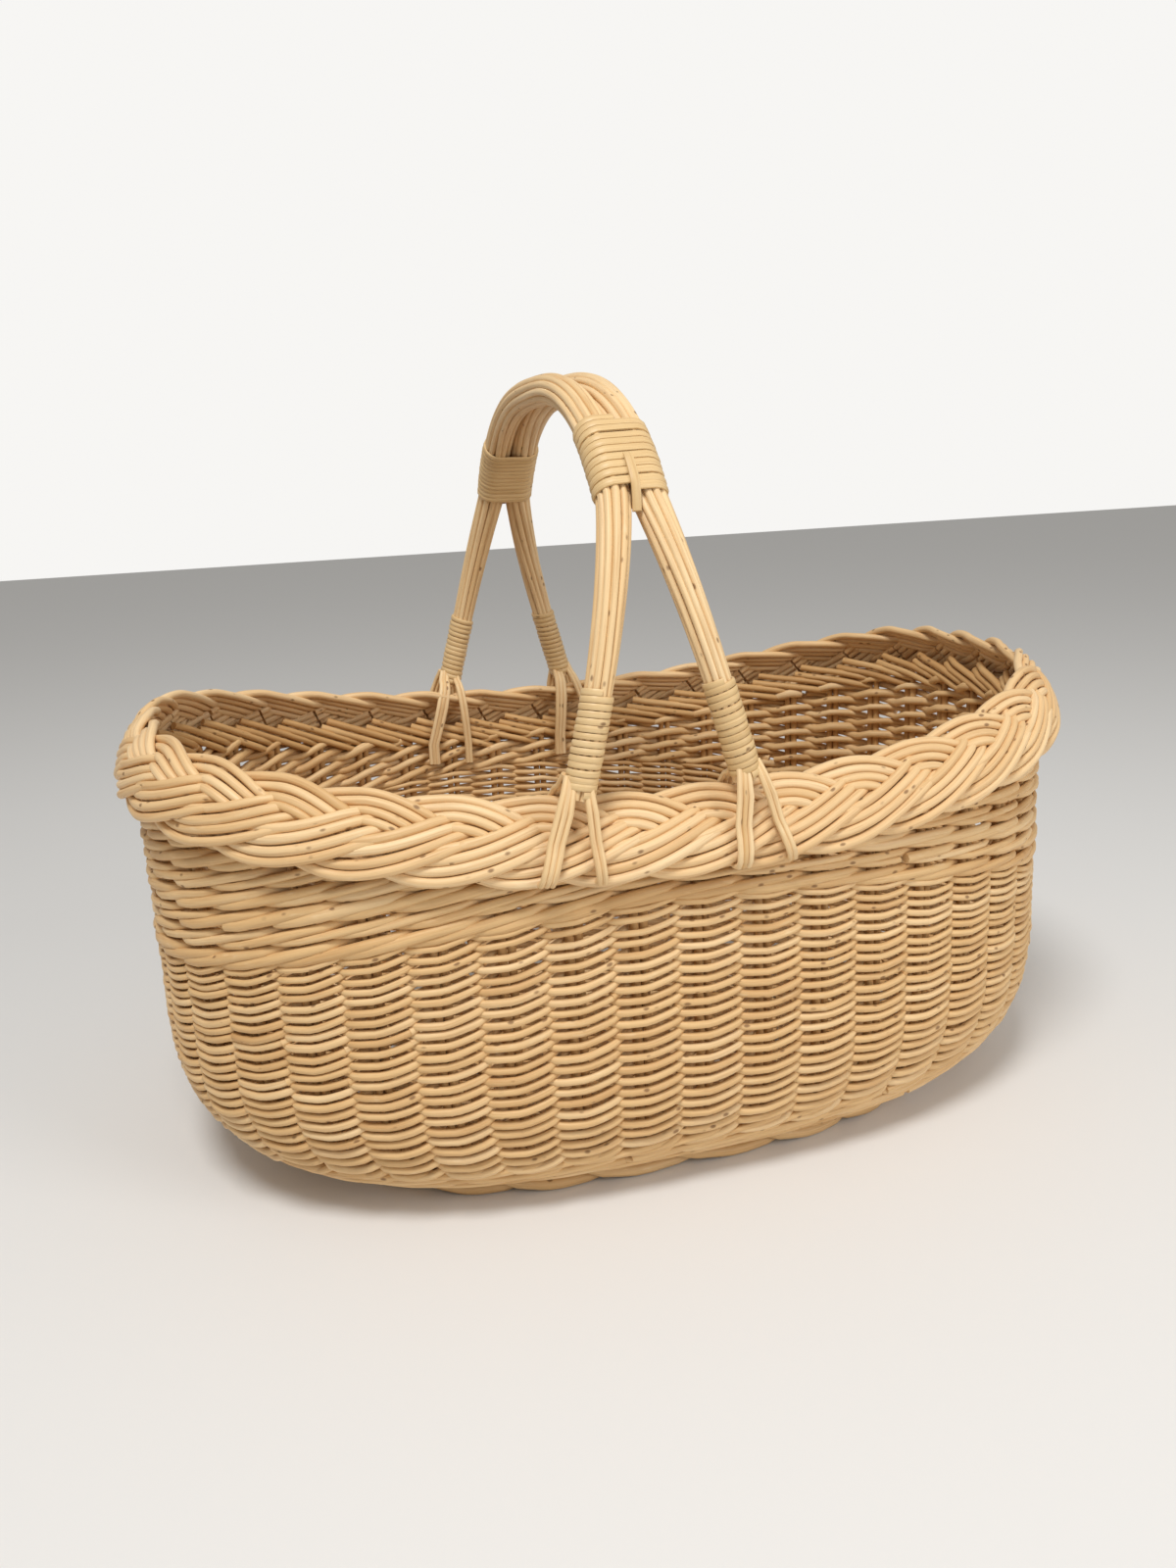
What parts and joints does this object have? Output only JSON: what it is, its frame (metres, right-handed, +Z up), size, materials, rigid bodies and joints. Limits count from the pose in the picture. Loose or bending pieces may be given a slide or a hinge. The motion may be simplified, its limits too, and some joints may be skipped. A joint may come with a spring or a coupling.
{
  "type": "willow market basket",
  "caption": "Oval woven willow market basket with a plaited border that rises to both ends and a fixed arched double handle bound with split willow.",
  "frame": {"origin": "middle of the basket's footprint, on the surface it stands on", "axes": "+X along the basket's length, +Y across it to the back, +Z up; the handle arches from front (-Y) to back (+Y)"},
  "size_m": [0.6124, 0.4072, 0.4665],
  "materials": {
    "stake_willow": "matt, slightly rough peeled willow rod, a little darker than the weave",
    "weave_willow": "matt buff willow rod with a faint sheen and small dark bud scars",
    "border_willow": "buff willow rod with a faint sheen",
    "handle_willow": "smooth buff willow rod with a soft sheen",
    "skein": "split willow skein with a soft sheen"
  },
  "bodies": {
    "root": {"foot_ring": "weave_willow", "base_weave": "weave_willow", "base_cross_stick_1": "stake_willow", "base_cross_stick_2": "stake_willow", "base_cross_stick_3": "stake_willow", "base_cross_stick_4": "stake_willow", "base_cross_stick_5": "stake_willow", "base_cross_stick_6": "stake_willow", "base_cross_stick_7": "stake_willow", "base_long_stick_1": "stake_willow", "base_long_stick_2": "stake_willow", "base_long_stick_3": "stake_willow", "stakes": "stake_willow", "bottom_wale": "weave_willow", "belly_weave": "weave_willow", "upper_wale": "weave_willow", "plaited_border": "border_willow", "handle_bundle_left": "handle_willow", "handle_bundle_right": "handle_willow", "front_shoulder_binding": "skein", "front_shoulder_strap": "skein", "back_shoulder_binding": "skein", "back_shoulder_strap": "skein", "front_left_leg_binding": "skein", "front_right_leg_binding": "skein", "back_left_leg_binding": "skein", "back_right_leg_binding": "skein", "front_left_leg_outside_tails_a": "handle_willow", "front_left_leg_outside_tails_b": "handle_willow", "front_left_leg_inside_tails_a": "handle_willow", "front_left_leg_inside_tails_b": "handle_willow", "front_right_leg_outside_tails_a": "handle_willow", "front_right_leg_outside_tails_b": "handle_willow", "front_right_leg_inside_tails_a": "handle_willow", "front_right_leg_inside_tails_b": "handle_willow", "back_left_leg_outside_tails_a": "handle_willow", "back_left_leg_outside_tails_b": "handle_willow", "back_left_leg_inside_tails_a": "handle_willow", "back_left_leg_inside_tails_b": "handle_willow", "back_right_leg_outside_tails_a": "handle_willow", "back_right_leg_outside_tails_b": "handle_willow", "back_right_leg_inside_tails_a": "handle_willow", "back_right_leg_inside_tails_b": "handle_willow"}
  },
  "joints": []
}
